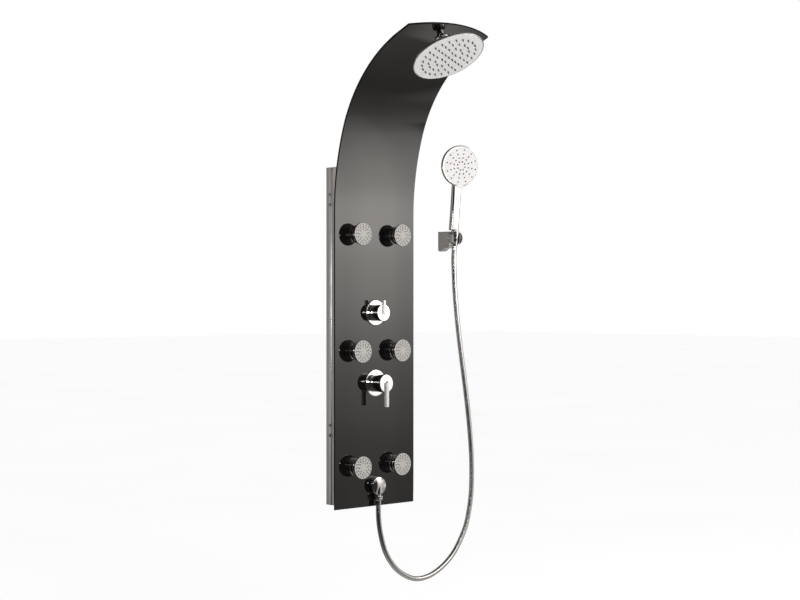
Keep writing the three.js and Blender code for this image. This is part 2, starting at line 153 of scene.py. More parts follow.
# ---- Materials -------------------------------------------------------------------------------
def polished_metal(name, level, roughness):
    """Plated metal: near-mirror, with faint wipe marks and water haze in its roughness."""
    n = Nodes(name)
    haze = n.noise(38, 5)
    fine = n.noise(900, 2, (1, 1, 0.25))
    return n.set(
        Base_Color=n.blend(haze, grey(level * 0.95), grey(level)),
        Metallic=1.0,
        Roughness=n.spread(haze, roughness * 0.6, roughness * 1.5),
        Normal=n.bump(fine, 0.02, 0.00001),
    )


def brushed_metal(name, level, roughness, stretch, warm=0.0, grain=1.0, metallic=1.0):
    """Metal with a drawn grain, long along the small numbers of stretch."""
    n = Nodes(name)
    lines = n.noise(1500, 3, stretch)
    cloud = n.noise(14, 4)
    return n.set(
        Base_Color=n.blend(lines, grey(level * 0.88, warm), grey(level, warm)),
        Metallic=metallic,
        Roughness=n.spread(cloud, roughness * 0.85, roughness * 1.2),
        Normal=n.bump(lines, 0.12 * grain, 0.00003),
    )


def moulded_plastic(name, colour, roughness, texture=0.0, speckle=0.94):
    """Moulded plastic with a fine skin and slightly uneven gloss."""
    n = Nodes(name)
    cloud = n.noise(45, 4)
    skin = n.noise(2600, 2)
    return n.set(
        Base_Color=n.blend(cloud, tuple(c * speckle for c in colour), colour),
        Roughness=n.spread(cloud, roughness * 0.85, roughness * 1.15),
        Normal=n.bump(skin, 0.05 + texture, 0.00003),
    )


def black_glass():
    """Toughened glass painted black behind: a clean gloss with a faint roller wave."""
    n = Nodes("black_glass")
    wave = n.noise(5.5, 2, (1, 1, 2.2))
    smear = n.noise(16, 6, (1, 1, 0.35))
    n.shader.inputs["IOR"].default_value = 1.5
    return n.set(
        Base_Color=n.blend(smear, (0.0035, 0.0032, 0.003), (0.0055, 0.005, 0.0046)),
        Roughness=n.spread(smear, 0.012, 0.05),
        Normal=n.bump(wave, 0.02, 0.0005),
    )


def ground_edge():
    """The ground and blackened edge of the glass."""
    n = Nodes("glass_edge")
    grain = n.noise(700, 4)
    n.shader.inputs["Specular IOR Level"].default_value = 0.25
    return n.set(
        Base_Color=n.blend(grain, (0.002, 0.002, 0.002), (0.008, 0.0085, 0.008)),
        Roughness=n.spread(grain, 0.25, 0.45),
        Normal=n.bump(grain, 0.1, 0.00003),
    )


def braided():
    """Steel wire braid over a rubber tube."""
    n = Nodes("braid")
    wave = n.add("ShaderNodeTexWave", wave_type="BANDS", bands_direction="DIAGONAL")
    wave.inputs["Scale"].default_value = 210
    n.join(n.coordinates, wave.inputs["Vector"])
    other = n.add("ShaderNodeTexWave", wave_type="BANDS", bands_direction="DIAGONAL")
    other.inputs["Scale"].default_value = 210
    n.join(n.scaled((-1, 1, 1)), other.inputs["Vector"])
    top = n.add("ShaderNodeMath", operation="MAXIMUM")
    n.join(wave.outputs["Fac"], top.inputs[0])
    n.join(other.outputs["Fac"], top.inputs[1])
    weave = top.outputs["Value"]
    return n.set(
        Base_Color=n.blend(weave, grey(0.1), grey(0.55), 0.2, 0.8),
        Metallic=0.85,
        Roughness=n.spread(n.noise(60), 0.3, 0.5),
        Normal=n.bump(weave, 0.6, 0.0003),
    )


def cast_brass():
    """Machined and tumbled brass, a little dulled."""
    n = Nodes("brass")
    cloud = n.noise(30, 5)
    rings = n.noise(800, 2, (1, 0.1, 1))
    return n.set(
        Base_Color=n.blend(cloud, (0.36, 0.24, 0.09), (0.62, 0.46, 0.2)),
        Metallic=1.0,
        Roughness=n.spread(cloud, 0.22, 0.42),
        Normal=n.bump(rings, 0.1, 0.00004),
    )


chrome = polished_metal("chrome", 0.86, 0.045)
plated_plastic = polished_metal("plated_plastic", 0.84, 0.06)
hose_metal = polished_metal("hose_metal", 0.8, 0.13)
shell_metal = polished_metal("shell_metal", 0.8, 0.3)
satin_aluminium = brushed_metal("satin_aluminium", 0.86, 0.3, (1, 1, 0.012), 0.004)
zinc_steel = brushed_metal("zinc_steel", 0.5, 0.42, (0.02, 1, 1), 0.0, 1.5)
brushed_plate = brushed_metal("brushed_plate", 0.86, 0.32, (1, 0.03, 0.03), 0.012, 0.7, 0.25)
rod_metal = brushed_metal("rod_metal", 0.66, 0.3, (1, 1, 0.02), 0.0, 0.8, 0.4)
glass = black_glass()
glass_edge = ground_edge()
brass = cast_brass()
braid = braided()
dark_plastic = moulded_plastic("dark_plastic", grey(0.035), 0.42)
white_plastic = moulded_plastic("white_plastic", (0.74, 0.72, 0.715), 0.4)
jet_plastic = moulded_plastic("jet_plastic", (0.42, 0.4, 0.375), 0.5, 0.05, 0.9)
jet_mark = moulded_plastic("jet_mark", (0.035, 0.032, 0.03), 0.75)
# A dark copy of the chrome: painted shade for the holder clip's faces that turn away from the left
clip_painted_shade_chrome = polished_metal("clip_painted_shade_chrome", 0.2, 0.1)
nozzle_rubber = moulded_plastic("nozzle_rubber", (0.1, 0.096, 0.092), 0.55)
nozzle_grey = moulded_plastic("nozzle_grey", (0.1, 0.095, 0.09), 0.55)


# ---- Shapes ----------------------------------------------------------------------------------
def soften(points, around=False, steps=5):
    """A polyline's points (x, y) or (x, y, radius) with the given corners rounded."""
    made = []
    last = len(points) - 1
    for i, point in enumerate(points):
        here = Vector(point[:2])
        radius = point[2] if len(point) > 2 else 0
        if radius <= 0 or (not around and i in (0, last)):
            made.append(tuple(here))
            continue
        before = Vector(points[i - 1][:2]) - here
        after = Vector(points[(i + 1) % len(points)][:2]) - here
        start = here + before.normalized() * min(radius, before.length * 0.49)
        end = here + after.normalized() * min(radius, after.length * 0.49)
        for k in range(steps + 1):
            t = k / steps
            made.append(tuple(start * (1 - t) ** 2 + here * (2 * t * (1 - t)) + end * t * t))
    return made


def hexagon(angle):
    return math.cos(math.pi / 6) / math.cos(angle % (math.pi / 3) - math.pi / 6)


def knurl(angle):
    return 1 - 0.05 * (0.5 - 0.5 * math.cos(18 * angle))


def lathe(profile, count=72, shapes=None):
    """Vertices and faces of a body turned about Z; its profile runs from axis to axis, or is a
    closed ring when it starts away from the axis. shapes maps a profile index to a radius law."""
    shapes = shapes or {}
    hollow = profile[0][0] > 1e-6
    verts, faces, rows = [], [], []
    for i, (radius, z) in enumerate(profile):
        if radius < 1e-6:
            rows.append([len(verts)] * count)
            verts.append((0, 0, z))
            continue
        rows.append(list(range(len(verts), len(verts) + count)))
        law = shapes.get(i, lambda angle: 1)
        for k in range(count):
            angle = TAU * k / count
            r = radius * law(angle)
            verts.append((r * math.cos(angle), r * math.sin(angle), z))
    pairs = list(zip(rows, rows[1:])) + ([(rows[-1], rows[0])] if hollow else [])
    for low, high in pairs:
        for k in range(count):
            quad = [low[k], low[(k + 1) % count], high[(k + 1) % count], high[k]]
            face = list(dict.fromkeys(quad))
            if len(face) > 2:
                faces.append(face)
    return verts, faces


def stacked_faces(count, rows):
    """Faces of a closed shape made of equal outlines of count points, row upon row."""
    faces = [[row * count + k, row * count + (k + 1) % count, (row + 1) * count + (k + 1) % count,
              (row + 1) * count + k] for row in range(rows - 1) for k in range(count)]
    return faces + [list(range(count))[::-1], list(range((rows - 1) * count, rows * count))]


def extrusion(outline, low, high):
    """A prism of a closed (x, y) outline between two heights."""
    return [(x, y, z) for z in (low, high) for x, y in outline], stacked_faces(len(outline), 2)


def sweep(points, radius_at, sides=28):
    """A tube along many points, with parallel-carried rings and flat closed ends."""
    verts = []
    normal = None
    for i, point in enumerate(points):
        ahead = points[min(i + 1, len(points) - 1)] - points[max(i - 1, 0)]
        tangent = ahead.normalized()
        if normal is None:
            guess = Vector((0, 1, 0)) if abs(tangent.y) < 0.8 else Vector((1, 0, 0))
            normal = (guess - tangent * guess.dot(tangent)).normalized()
        normal = (normal - tangent * normal.dot(tangent)).normalized()
        side = tangent.cross(normal)
        radius = radius_at(i)
        for k in range(sides):
            angle = TAU * k / sides
            verts.append(tuple(point + (normal * math.cos(angle) + side * math.sin(angle)) * radius))
    return verts, stacked_faces(sides, len(points))


def merged(*parts):
    """Several closed shapes as one list of vertices and faces."""
    verts, faces = [], []
    for part_verts, part_faces in parts:
        start = len(verts)
        verts += part_verts
        faces += [[index + start for index in face] for face in part_faces]
    return verts, faces


def moved(shape, matrix):
    verts, faces = shape
    return [tuple(matrix @ Vector(v)) for v in verts], faces


def spun(axis, degrees):
    return Matrix.Rotation(math.radians(degrees), 4, axis)


def shift(x, y, z):
    return Matrix.Translation((x, y, z))


def finish_mesh(mesh, sharp=35):
    """Faces point out, round faces shade smooth, and real corners stay crisp."""
    work = bmesh.new()
    work.from_mesh(mesh)
    bmesh.ops.remove_doubles(work, verts=work.verts, dist=1e-7)
    bmesh.ops.recalc_face_normals(work, faces=work.faces)
    work.to_mesh(mesh)
    work.free()
    mesh.polygons.foreach_set("use_smooth", [True] * len(mesh.polygons))
    mesh.set_sharp_from_angle(angle=math.radians(sharp))
    mesh.update()


def placed_shape(name, shape, place, sharp=35):
    """A new object from a shape in millimetres."""
    verts, faces = shape
    matrix = Matrix.Scale(MM, 4) @ place
    mesh = bpy.data.meshes.new(name)
    mesh.from_pydata([tuple(matrix @ Vector(v)) for v in verts], [], faces)
    finish_mesh(mesh, sharp)
    return placed(name, mesh)


def piece(name, shape, place, material, body, nodes=(), sharp=35):
    """A finished piece from a shape in millimetres, riding on a body."""
    obj = placed_shape(name, shape, place, sharp)
    obj.data.materials.append(material)
    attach(obj, body)
    if nodes:
        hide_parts(*([nodes] if isinstance(nodes, str) else nodes))
    return obj


def carve(obj, shape, place, sharp=35):
    """Cuts a shape out of a finished piece."""
    cutter = placed_shape("cutter", shape, place)
    modifier = obj.modifiers.new("cut", "BOOLEAN")
    modifier.operation, modifier.solver, modifier.object = "DIFFERENCE", "EXACT", cutter
    bpy.context.view_layer.update()
    made = bpy.data.meshes.new_from_object(obj.evaluated_get(bpy.context.evaluated_depsgraph_get()))
    obj.modifiers.clear()
    old, obj.data = obj.data, made
    bpy.data.meshes.remove(old)
    bpy.data.objects.remove(cutter)
    finish_mesh(made, sharp)


def facing(x, height):
    """Local Z runs out of the wall from it, and local Y is up."""
    return shift(x, 0, height - ORIGIN_HEIGHT) @ spun("X", 90)


def joint_place(name):
    x, _, z = joints[name]["pos_m"]
    return facing(x / MM, z / MM + ORIGIN_HEIGHT)


def carried(node, material):
    """A CAD node that stays as it is, with its finished material."""
    obj = frame["nodes"][node]
    obj.data.materials.clear()
    obj.data.materials.append(material)


# ---- Shower hose -----------------------------------------------------------------------------
HOSE_RADIUS = 7.3
HOSE_ROUTE = [
    (0, 63.5, 16.7), (0, 63.5, 4), (0.2, 63.4, -12), (2, 63.2, -40), (9, 63, -78), (27, 62.8, -130),
    (58, 62.6, -173), (95, 62.4, -201), (141, 62.2, -218.5), (188, 62, -217.5), (240, 61.8, -199),
    (289, 61.6, -164), (323, 61.4, -121), (343, 61.2, -85), (356, 61, -42), (364.5, 60.8, 4),
    (367.5, 60.6, 55), (366.5, 60.4, 117), (361, 60.2, 182), (352, 60, 253), (341, 59.7, 324),
    (329, 59.4, 395), (317.5, 59, 465), (308, 58.5, 535), (301.5, 57.4, 605), (299, 56.6, 660),
    (298.3, 56.2, 697), (298.4, 57.2, 713.5), (298.5, 58.8, 731.3),
]


def catmull(points, spacing):
    """Centripetal Catmull-Rom points through a route, about evenly spaced."""
    ends = [points[0] * 2 - points[1], *points, points[-1] * 2 - points[-2]]
    made = []
    for p0, p1, p2, p3 in zip(ends, ends[1:], ends[2:], ends[3:]):
        t = [0.0]
        for a, b in ((p0, p1), (p1, p2), (p2, p3)):
            t.append(t[-1] + max((b - a).length, 1e-6) ** 0.5)
        steps = max(1, round((p2 - p1).length / spacing))
        for k in range(steps):
            u = t[1] + (t[2] - t[1]) * k / steps
            a1 = p0 * ((t[1] - u) / (t[1] - t[0])) + p1 * ((u - t[0]) / (t[1] - t[0]))
            a2 = p1 * ((t[2] - u) / (t[2] - t[1])) + p2 * ((u - t[1]) / (t[2] - t[1]))
            a3 = p2 * ((t[3] - u) / (t[3] - t[2])) + p3 * ((u - t[2]) / (t[3] - t[2]))
            b1 = a1 * ((t[2] - u) / (t[2] - t[0])) + a2 * ((u - t[0]) / (t[2] - t[0]))
            b2 = a2 * ((t[3] - u) / (t[3] - t[1])) + a3 * ((u - t[1]) / (t[3] - t[1]))
            made.append(b1 * ((t[2] - u) / (t[2] - t[1])) + b2 * ((u - t[1]) / (t[2] - t[1])))
    made.append(points[-1])
    return made


hose_line = catmull([Vector((x, -depth, height - ORIGIN_HEIGHT)) for x, depth, height in HOSE_ROUTE], 0.95)
RING = (0.0, -0.1, -0.42, -0.1)          # the hose wall over one turn of its wound strip


def hose_radius(i):
    from_end = min(i, len(hose_line) - 1 - i)
    if from_end < 16:
        return HOSE_RADIUS if from_end < 14 else HOSE_RADIUS - 0.5
    return HOSE_RADIUS + RING[i % len(RING)]


hose = piece("shower_hose_wound", sweep(hose_line, hose_radius), Matrix.Identity(4), hose_metal, "column",
             sharp=60)
hose.parent = None
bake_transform(hose)
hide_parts("shower_hose")


# ---- Hose nuts -------------------------------------------------------------------------------
OUTLET_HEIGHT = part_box("hose_outlet")[1].z / MM + ORIGIN_HEIGHT - 25
SPIGOT_DEPTH = GLASS_FRONT + 13.5
spigot_place = shift(0, -SPIGOT_DEPTH, -ORIGIN_HEIGHT)
nut_profile = soften([
    (0, 17), (9.6, 17, 0.6), (10.6, 18.2, 0.5), (12, 19, 0.4), (12, 22.2, 0.4), (11.2, 22.8, 0.3),
    (11.2, 23.8, 0.3), (12, 24.4, 0.4), (12, 28.6, 0.4), (11.2, 30.5, 0.6), (8.6, 30.5), (8.6, 20.4),
    (0, 20.4),
])
nut_laws = {i: knurl for i, (r, z) in enumerate(nut_profile) if r > 11.5}
lower_nut = piece("hose_nut_lower_knurled", lathe(nut_profile, 144, nut_laws), spigot_place, chrome,
                  "column", "hose_nut_lower", sharp=30)

HOLDER_LEAN = 5.5
holder_place = Matrix.Translation(Vector(joints["holder_tilt"]["pos_m"]) / MM) @ spun("X", HOLDER_LEAN)
cone_profile = soften([
    (0, -23), (7.4, -23, 0.3), (9, -22.2, 0.8), (9.2, -18), (9.5, -15.6, 0.3), (9.0, -15.0, 0.3),
    (9.55, -14.2, 0.3), (12.1, 20.4, 0.7), (11.6, 21.5, 0.5), (7.6, 21.5), (7.6, 10), (0, 10),
])
upper_nut = piece("hose_nut_upper_cone", lathe(cone_profile, 96), holder_place, chrome, "holder",
                  "hose_nut_upper")


# ---- Glass panel -----------------------------------------------------------------------------
PANEL_WIDTH, PANEL_THICK, STRAIGHT = 292.0, 6.0, 813.0
LOWER_BEND = (690.0, math.radians(19))   # radius and turn
UPPER_BEND = (383.0, math.radians(49))
TIP, BOW = 47.0, 32.0                    # the straight end beyond the bends, and its edge's bow
LEAN = LOWER_BEND[1] + UPPER_BEND[1]
BEND_END = STRAIGHT + LOWER_BEND[0] * LOWER_BEND[1] + UPPER_BEND[0] * UPPER_BEND[1]


def glass_line(distance):
    """(depth, height, angle from upright) of the front face this far up along it."""
    (r1, a1), (r2, a2) = LOWER_BEND, UPPER_BEND
    if distance <= STRAIGHT:
        return GLASS_FRONT, distance, 0.0
    rest = distance - STRAIGHT
    if rest <= r1 * a1:
        angle = rest / r1
        return GLASS_FRONT + r1 * (1 - math.cos(angle)), STRAIGHT + r1 * math.sin(angle), angle
    rest -= r1 * a1
    depth, height = GLASS_FRONT + r1 * (1 - math.cos(a1)), STRAIGHT + r1 * math.sin(a1)
    angle = a1 + min(rest / r2, a2)
    depth += r2 * (math.cos(a1) - math.cos(angle))
    height += r2 * (math.sin(angle) - math.sin(a1))
    beyond = max(0.0, rest - r2 * a2)
    return depth + beyond * math.sin(angle), height + beyond * math.cos(angle), angle


def glass_shape():
    """The sheet as rings of a chamfered section carried up the bend to the bowed end."""
    half, bevel = PANEL_WIDTH / 2, 1.0
    across = [-half + bevel + (PANEL_WIDTH - 2 * bevel) * k / 28 for k in range(29)]
    section = [(x, 0.0) for x in across] + [(half, bevel), (half, PANEL_THICK - bevel)]
    section += [(x, PANEL_THICK) for x in reversed(across)] + [(-half, PANEL_THICK - bevel), (-half, bevel)]
    stations = [STRAIGHT * k / 14 for k in range(14)]
    stations += [STRAIGHT + (BEND_END - STRAIGHT) * k / 48 for k in range(49)]
    stations += [BEND_END + TIP * k / 8 for k in range(1, 9)]
    bow_radius = (half ** 2 + BOW ** 2) / (2 * BOW)
    verts = []
    for i, station in enumerate(stations + [stations[-1]]):
        inset = bevel if i in (0, len(stations)) else 0.0
        for x, behind in section:
            bx = max(-half + inset, min(half - inset, x))
            depth_in = max(inset, min(PANEL_THICK - inset, behind))
            bow = math.sqrt(bow_radius ** 2 - bx * bx) - (bow_radius - BOW)
            distance = station + bow * max(0.0, (station - BEND_END) / TIP)
            if i == len(stations) - 1:
                distance -= bevel
            depth, height, angle = glass_line(distance)
            verts.append((bx, -(depth - depth_in * math.cos(angle)), height + depth_in * math.sin(angle)))
    n = len(section)
    rings = len(stations) + 1
    faces = stacked_faces(n, rings)[:-2]
    count = len(across)
    for base in (0, (rings - 1) * n):
        for k in range(count - 1):
            faces.append([base + k, base + k + 1, base + n - 3 - (k + 1), base + n - 3 - k])
        faces.append([base + count - 1, base + count, base + count + 1, base + count + 2])
        faces.append([base + n - 1, base, base + n - 3, base + n - 2])
    return verts, faces


panel = piece("glass_panel_sheet", glass_shape(), shift(0, 0, -ORIGIN_HEIGHT), glass, "column",
              "glass_panel", sharp=20)
panel.data.materials.append(glass_edge)
for polygon in panel.data.polygons:
    lean = polygon.normal
    if abs(lean.x) > 0.5 or polygon.center.z < -0.849 or (
            polygon.center.y < -0.35 and lean.y * -math.sin(LEAN) + lean.z * math.cos(LEAN) > 0.5):
        polygon.material_index = 1


# ---- Chassis ---------------------------------------------------------------------------------
for side_name, side in (("left", -1), ("right", 1)):
    node = f"side_rail_{side_name}"
    low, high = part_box(node)
    front = -low.y / MM
    outline = soften([(side * x, -depth, r) for x, depth, r in (
        (136, 1, 0.5), (136, 12, 0.5), (137.5, 13.5, 0.5), (137.5, 22, 0.5), (135, 23.5, 0.4),
        (135, 27, 0.4), (136, 28.5, 0.4), (136, front, 0.5), (112, front, 0.4), (112, front - 2, 0.4),
        (133.4, front - 2, 0.3), (133.4, 1, 0.4))], around=True, steps=3)
    piece(f"{node}_extruded", extrusion(outline, low.z / MM, high.z / MM), Matrix.Identity(4),
          satin_aluminium, "column", node, sharp=40)

for node in ("wall_hanger_lower", "wall_hanger_upper", "cross_brace"):
    carried(node, zinc_steel)

screw_profile = soften([
    (0, 0), (2.2, 0), (2.2, 15), (4.6, 15, 0.3), (4.6, 15.8, 0.5), (4.1, 17.0, 0.8), (2.9, 17.6, 0.3),
    (2.3, 17.6), (2.3, 15.9), (0, 15.7),
])
screw_hex = {i: hexagon for i, (r, z) in enumerate(screw_profile) if i >= len(screw_profile) - 3}
for side_name, side in (("left", -1), ("right", 1)):
    for level in ("lower", "upper"):
        for end in ("low", "high"):
            node = f"side_screw_{side_name}_{level}_{end}"
            low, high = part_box(node)
            middle = (low + high) / 2 / MM
            start = low.x / MM if side > 0 else high.x / MM
            place = shift(start, middle.y, middle.z) @ spun("Y", 90 * side)
            piece(f"{node}_button", lathe(screw_profile, 48, screw_hex), place, chrome, "column", node)


# ---- Valves and pipes ------------------------------------------------------------------------
def raised(points, base=GLASS_FRONT):
    """Profile points whose heights are counted from a base."""
    return [(r, base + z, *corner) for r, z, *corner in points]


def port(x, y, depth, reach, radius, axis, way=1):
    """A short pipe end with a hex union on it, from a valve's middle outwards."""
    outline = soften([
        (0, 0), (radius, 0), (radius, reach - 12, 0.3), (radius + 1.2, reach - 11.4, 0.4),
        (radius + 1.2, reach - 4, 0.4), (radius - 0.6, reach - 3, 0.3), (radius - 0.6, reach, 0.3),
        (0, reach)])
    laws = {i: hexagon for i, (r, z) in enumerate(outline) if r > radius + 0.3}
    turn = spun("Y", 90 * way) if axis == "X" else spun("X", -90 * way)
    return moved(lathe(outline, 48, laws), shift(x, y, depth) @ turn)


def barrel(radius, rear, front):
    return lathe(soften([(0, rear), (radius - 2, rear, 1), (radius, rear + 3, 1), (radius, front - 6, 0.5),
                         (radius - 1.2, front - 5, 0.5), (radius - 1.2, front, 0.5), (0, front)]), 72)


PIPE_DEPTH, PIPE_RADIUS = 20.0, 6.5
RISER_END = 28.9                         # how far the riser runs on past the bends
BRANCH_START = 30.3                      # where the diverter's side ports end
GLASS_BACK = GLASS_FRONT - PANEL_THICK
mixer_place = joint_place("mixer_turn")
diverter_place = joint_place("diverter_turn")
piece("mixer_body_cast", merged(
    barrel(24, 6, GLASS_BACK - 0.3),
    port(0, 0, PIPE_DEPTH, 38, 9, "Y"),
    port(-33.5, 0, PIPE_DEPTH, 44, 9.2, "Y", -1), port(33.5, 0, PIPE_DEPTH, 44, 9.2, "Y", -1),
    moved(lathe(soften([(0, -43.5), (7, -43.5, 2), (9, -41, 2), (9, 41, 2), (7, 43.5, 2), (0, 43.5)]), 48),
          shift(0, 0, PIPE_DEPTH) @ spun("Y", 90)),
), mixer_place, brass, "column", "mixer_body")
piece("diverter_body_cast", merged(
    barrel(21, 7, GLASS_BACK - 0.3),
    port(0, 0, PIPE_DEPTH, 30, 9, "Y"), port(0, 0, PIPE_DEPTH, 30, 9, "Y", -1),
    port(16, 0, PIPE_DEPTH, 30, 7.2, "Y", -1),
    port(0, 0, PIPE_DEPTH, 30, 9, "X"), port(0, 0, PIPE_DEPTH, 30, 9, "X", -1),
), diverter_place, brass, "column", "diverter_body")
for node in ("mixer_cartridge", "diverter_cartridge"):
    carried(node, dark_plastic)


def pipe(name, node, route, spacing=3.0):
    points = catmull([Vector(p) for p in route], spacing)
    piece(name, sweep(points, lambda i: PIPE_RADIUS), Matrix.Identity(4), braid, "column", node)


def at_height(x, height, depth=PIPE_DEPTH):
    return (x, -depth, height - ORIGIN_HEIGHT)


low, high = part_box("mixer_to_diverter_pipe")
pipe("feed_pipe_braided", "mixer_to_diverter_pipe",
     [(0, -PIPE_DEPTH, z / MM) for z in (low.z, (low.z + high.z) / 2, high.z)])
pipe("outlet_pipe_braided", "outlet_pipe", [at_height(x, z) for x, z in (
    (16, 508.7), (16, 500), (17, 480), (27, 455), (46, 430), (57, 400), (57.5, 360), (57.5, 240),
    (57.5, 130), (55, 90), (42, 64), (22, 57), (4, 57), (-8, 57))])
riser = [at_height(0, 569.3), at_height(0, 640), at_height(0, 730)]
gap = GLASS_FRONT - PIPE_DEPTH
for k in range(19):
    depth, height, angle = glass_line(STRAIGHT + (BEND_END - STRAIGHT) * k / 18)
    riser.append(at_height(0, height + gap * math.sin(angle), depth - gap * math.cos(angle)))
riser.append(at_height(0, height + gap * math.sin(angle) + RISER_END * math.cos(angle),
                       depth - gap * math.cos(angle) + RISER_END * math.sin(angle)))
pipe("riser_pipe_braided", "riser_pipe", riser)
for side_name, side in (("left", -1), ("right", 1)):
    node = f"jet_pipe_{side_name}"
    low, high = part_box(node)
    x = joints[f"jet_nod_upper_{side_name}"]["pos_m"][0] / MM
    branch_height = joints["diverter_turn"]["pos_m"][2] / MM
    upright = sweep([Vector((x, -PIPE_DEPTH, (low.z + k * (high.z - low.z) / 60) / MM)) for k in range(61)],
                    lambda i: PIPE_RADIUS)
    branch = sweep([Vector((side * (BRANCH_START + k * (abs(x) - BRANCH_START) / 12), -PIPE_DEPTH,
                            branch_height)) for k in range(13)], lambda i: PIPE_RADIUS)
    piece(f"{node}_braided", merged(upright, branch), Matrix.Identity(4), braid, "column", node)


# ---- Controls --------------------------------------------------------------------------------
def cover_plate(name, node, place, radius, bore):
    outline = soften(raised([(bore, 0, 0.2), (radius, 0, 0.4), (radius, 1.6, 0.8), (radius - 1.8, 3.5, 1.0),
                             (bore, 3.5, 0.4)], GLASS_FRONT + 0.3), around=True)
    piece(name, lathe(outline, 128), place, chrome, "column", node, sharp=30)


BAR_CORNER, BAR_BEVEL = 1.1, 0.8


def bar_outline(half):
    """A square section with its corners just broken."""
    corners = ((-half, -half), (half, -half), (half, half), (-half, half))
    return soften([(x, y, BAR_CORNER) for x, y in corners], around=True, steps=3)


def control_hub(name, node, place, body, radius, reach, bore, rod_half, low, high):
    """A hollow cap whose face has a groove for the rod."""
    start, end = GLASS_FRONT + 4.1, GLASS_FRONT + reach
    outline = soften([
        (0, end - 19.7), (4.5, end - 19.7, 0.3), (4.5, end - 12, 0.5), (bore, end - 12, 0.5),
        (bore, start, 0.3), (radius - 0.8, start, 0.4), (radius, start + 0.9, 0.5), (radius, end - 1.1, 1.1),
        (radius - 1.1, end, 1.1), (0, end)])
    hub = piece(name, lathe(outline, 128), place, chrome, body, node, sharp=30)
    groove = extrusion(bar_outline(rod_half + 0.5), low, high)
    carve(hub, groove, place @ shift(0, 0, end + 1) @ spun("X", -90), sharp=30)


def control_rod(name, node, place, body, half, reach, low, high):
    """A square bar with bevelled ends."""
    outline = bar_outline(half)
    shrink = (half - BAR_BEVEL) / half
    inner = [(x * shrink, y * shrink) for x, y in outline]
    rows = ((inner, low), (outline, low + BAR_BEVEL), (outline, high - BAR_BEVEL), (inner, high))
    shape = [(x, y, z) for line, z in rows for x, y in line], stacked_faces(len(outline), len(rows))
    piece(name, shape, place @ shift(0, 0, GLASS_FRONT + reach + 1) @ spun("X", -90), rod_metal,
          body, node, sharp=30)


cover_plate("mixer_plate_round", "mixer_plate", mixer_place, 38, 20)
control_hub("mixer_hub_cap", "mixer_hub", mixer_place, "mixer_hub", 25, 48, 20.5, 4.8, -40, 6.4)
control_rod("mixer_lever_rod", "mixer_lever", mixer_place, "mixer_lever", 4.8, 48, -65, 2)
cover_plate("diverter_plate_round", "diverter_plate", diverter_place, 36.2, 16)
control_hub("diverter_knob_cap", "diverter_knob", diverter_place, "diverter_knob", 23.7, 36.6, 16.5, 4.0,
            -6.5, 40)
control_rod("diverter_rod_round", "diverter_rod", diverter_place, "diverter_knob", 4.0, 36.6, -5.5, 35)


# ---- Body jets -------------------------------------------------------------------------------
JET_CENTRE, JET_FACE = GLASS_FRONT + 16, GLASS_FRONT + 35


def ball_arc(radius, centre, start, end, steps=10):
    angles = [math.radians(start + (end - start) * k / steps) for k in range(steps + 1)]
    return [(radius * math.sin(a), centre - radius * math.cos(a)) for a in angles]


def button(width, height, length, sides=8):
    """A low rounded mark lying on Z = 0, long along X."""
    verts = [(0, 0, height)]
    rings = ((0.62, 0.8), (1.0, 0.25), (1.0, -1.2))
    for scale, lift in rings:
        for k in range(sides):
            angle = TAU * k / sides
            verts.append((length * scale * math.cos(angle), width * scale * math.sin(angle), height * lift))
    walls = [[index + 1 for index in face] for face in stacked_faces(sides, len(rings))[:-2]]
    faces = [[0, 1 + k, 1 + (k + 1) % sides] for k in range(sides)]
    faces.append([1 + (len(rings) - 1) * sides + k for k in range(sides)][::-1])
    return verts, faces + walls


def ring_of(shape, count, radius, phase=0.0):
    """Copies of a shape around Z, each with its X axis pointing outwards."""
    return [moved(shape, spun("Z", phase + 360 * k / count) @ shift(radius, 0, 0)) for k in range(count)]


base_outline = soften([
    *raised([(3, -23), (10, -23, 0.4), (10, 0.3), (23.2, 0.3, 0.3), (24, 1.4, 0.8), (24, 3.2, 0.8),
             (22.6, 5.0, 1.5), (22.2, 9.5, 2.0), (23.4, 13.2, 1.4), (23.8, 15.4, 1.2), (22.0, 18.4, 1.4)]),
    *ball_arc(14.4, JET_CENTRE, 100, 25), (3, JET_CENTRE - 14.6)], around=True)
head_outline = [
    *ball_arc(14, JET_CENTRE, 0, 128, 16),
    *soften(raised([(11.4, -10.1), (20.6, -9.1, 1.2), (29.4, -8.0, 1.2), (31, -6.2, 1.2), (31, -1.6, 0.6),
                    (30.5, -0.9, 0.3), (30.2, -0.9), (0, -0.9)], JET_FACE))[1:],
]
face_outline = soften(raised([
    (0, -1.4), (30.3, -1.4), (30.6, -0.8, 0.3), (29.6, 0, 0.8), (10.6, -0.3, 0.5), (9.8, -0.9, 0.4),
    (9.0, -0.9, 0.4), (8.2, -0.2, 0.8), (4.0, -0.1, 1.5), (0, 0)], JET_FACE))
mark = button(1.7, 0.6, 2.2)
dot = button(1.6, 0.6, 1.8)
marks = merged(*ring_of(mark, 16, 25.6), *ring_of(mark, 13, 19.4, 11), *ring_of(dot, 8, 13.6, 5))
nut_outline = soften([(10.6, 30.2, 0.3), (16.8, 30.2, 0.3), (17.9, 31.4, 0.4), (17.9, 42.6, 0.4),
                      (16.8, 43.7, 0.3), (10.6, 43.7, 0.3)], around=True)
nut_hex = {i: hexagon for i, (r, z) in enumerate(nut_outline) if r > 12}
